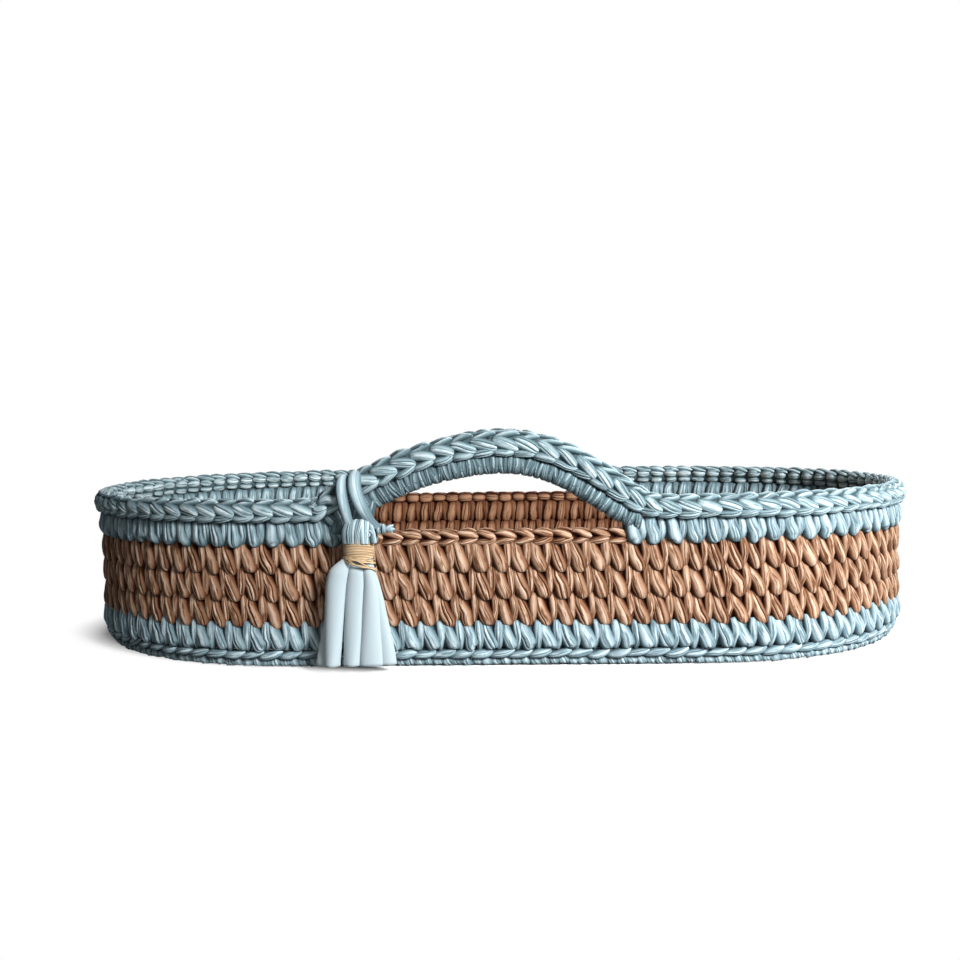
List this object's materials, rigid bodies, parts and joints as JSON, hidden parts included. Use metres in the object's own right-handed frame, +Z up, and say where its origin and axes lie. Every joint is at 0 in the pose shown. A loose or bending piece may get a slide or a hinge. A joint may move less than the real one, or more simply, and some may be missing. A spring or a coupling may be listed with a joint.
{
  "type": "moses basket",
  "caption": "Oval crocheted baby carrying basket on a drilled board, with arched rope-cored side handles over hand holes and a cloth tassel.",
  "frame": {"origin": "middle of the oval where the basket stands on the floor", "axes": "+X along the basket to the right as seen from the tassel's side, +Y from the tassel's side to the rear, +Z up"},
  "size_m": [0.8, 0.3945, 0.1998],
  "materials": {
    "blue_yarn": "matt jersey yarn",
    "tan_yarn": "matt jersey yarn",
    "pale_blue_strip": "smooth jersey cloth",
    "cotton_rope": "twisted cotton",
    "birch_ply": "sanded birch",
    "gold_thread": "satin thread"
  },
  "bodies": {
    "basket": {"base_board": "birch_ply", "blue_round_lower_front": "blue_yarn", "blue_round_lower_left": "blue_yarn", "blue_round_lower_rear": "blue_yarn", "blue_round_lower_right": "blue_yarn", "blue_round_upper_left": "blue_yarn", "blue_round_upper_right": "blue_yarn", "foot_chain": "blue_yarn", "foundation_round": "blue_yarn", "front_foot_wrap_left": "blue_yarn", "front_foot_wrap_right": "blue_yarn", "front_sill_chain": "tan_yarn", "rear_foot_wrap_left": "blue_yarn", "rear_foot_wrap_right": "blue_yarn", "rear_sill_chain": "tan_yarn", "rim_braid_left": "blue_yarn", "rim_braid_right": "blue_yarn", "tan_round_lower_front": "tan_yarn", "tan_round_lower_left": "tan_yarn", "tan_round_lower_rear": "tan_yarn", "tan_round_lower_right": "tan_yarn", "tan_round_middle_front": "tan_yarn", "tan_round_middle_left": "tan_yarn", "tan_round_middle_rear": "tan_yarn", "tan_round_middle_right": "tan_yarn", "tan_round_upper_front": "tan_yarn", "tan_round_upper_left": "tan_yarn", "tan_round_upper_rear": "tan_yarn", "tan_round_upper_right": "tan_yarn", "tassel_cord": "blue_yarn", "tassel_knot": "blue_yarn", "tassel_loop_left": "pale_blue_strip", "tassel_loop_right": "pale_blue_strip"},
    "front_handle": {"front_handle_braid": "blue_yarn", "front_handle_wrap": "blue_yarn", "front_handle_core": "cotton_rope"},
    "rear_handle": {"rear_handle_braid": "blue_yarn", "rear_handle_wrap": "blue_yarn", "rear_handle_core": "cotton_rope"},
    "tassel": {"tassel_head": "pale_blue_strip", "tassel_binding": "gold_thread", "tassel_strip_back_left": "pale_blue_strip", "tassel_strip_back_middle": "pale_blue_strip", "tassel_strip_back_right": "pale_blue_strip", "tassel_strip_front_left": "pale_blue_strip", "tassel_strip_front_middle": "pale_blue_strip", "tassel_strip_front_right": "pale_blue_strip"}
  },
  "joints": [
    {"name": "front_handle_fold", "type": "hinge", "parent": "basket", "child": "front_handle", "pos_m": [0.0028, -0.181, 0.146], "axis": [1, 0, 0], "range_deg": [-50, 35], "stiffness_Nm_per_rad": 0.8},
    {"name": "rear_handle_fold", "type": "hinge", "parent": "basket", "child": "rear_handle", "pos_m": [0.0028, 0.181, 0.1428], "axis": [1, 0, 0], "range_deg": [-35, 50], "stiffness_Nm_per_rad": 0.8},
    {"name": "tassel_swing", "type": "hinge", "parent": "basket", "child": "tassel", "pos_m": [-0.1127, -0.1965, 0.1215], "axis": [-1, 0, 0], "range_deg": [0, 80]}
  ]
}
